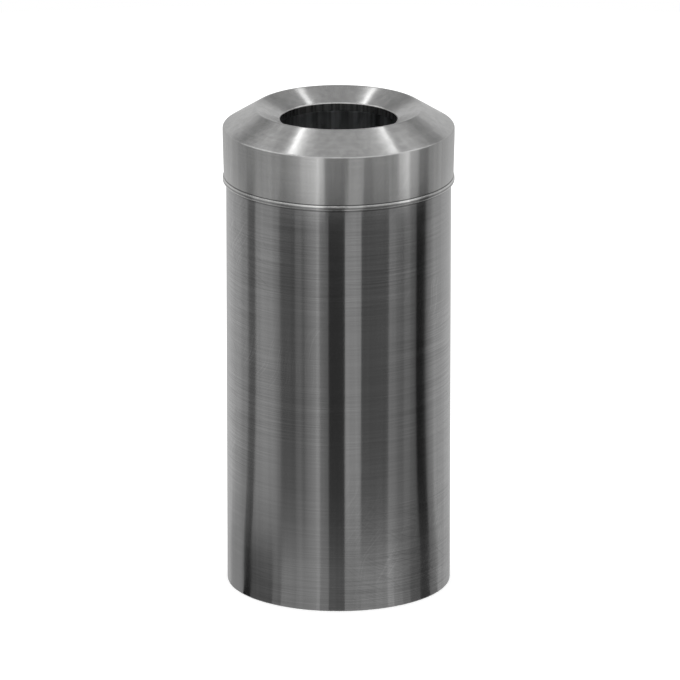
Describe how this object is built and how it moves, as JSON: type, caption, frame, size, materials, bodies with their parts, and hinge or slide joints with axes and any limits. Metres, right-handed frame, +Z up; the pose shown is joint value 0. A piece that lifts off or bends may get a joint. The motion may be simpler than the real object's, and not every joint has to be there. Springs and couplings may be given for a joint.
{
  "type": "cone top waste bin",
  "caption": "Round steel waste bin with a lift-off cone top, a funnel mouth and a galvanised inner bucket with a wire bail.",
  "frame": {"origin": "on the floor, in the middle of the foot", "axes": "+Z up along the axis of the bin, -Y towards the pictured front, +X to the right seen from the front"},
  "size_m": [0.3092, 0.3092, 0.6565],
  "materials": {
    "body_steel": "stainless sheet, fine brushing round the tube, fairly glossy",
    "lid_steel": "stainless sheet, satin, spun with fine marks round the axis",
    "base_steel": "pressed steel, mill finish",
    "galvanised_sheet": "galvanised sheet with a faint spangle",
    "galvanised_plate": "galvanised plate, dull",
    "galvanised_wire": "galvanised wire, satin",
    "rivet_steel": "zinc plated steel"
  },
  "bodies": {
    "body": {"body_shell": "body_steel", "base_pan": "base_steel"},
    "bucket": {"bucket_wall": "galvanised_sheet", "bucket_floor": "galvanised_sheet", "bucket_ear_left": "galvanised_plate", "bucket_ear_right": "galvanised_plate", "ear_rivets": "rivet_steel"},
    "lid": {"lid_skirt": "lid_steel", "lid_cone": "lid_steel"},
    "bail": {"bail_handle": "galvanised_wire"}
  },
  "joints": [
    {"name": "bucket_lift", "type": "slide", "parent": "body", "child": "bucket", "axis": [0, 0, 1], "range_m": [0, 0.65]},
    {"name": "lid_lift", "type": "slide", "parent": "bucket", "child": "lid", "axis": [0, 0, 1], "range_m": [0, 0.5]},
    {"name": "bail_swing", "type": "hinge", "parent": "bucket", "child": "bail", "pos_m": [0, 0, 0.6163], "axis": [-1, 0, 0], "range_deg": [0, 180]}
  ],
  "couplings": [
    {"joint": "bail_swing", "follows": "lid_lift", "rad_per_m": 6.2827}
  ]
}
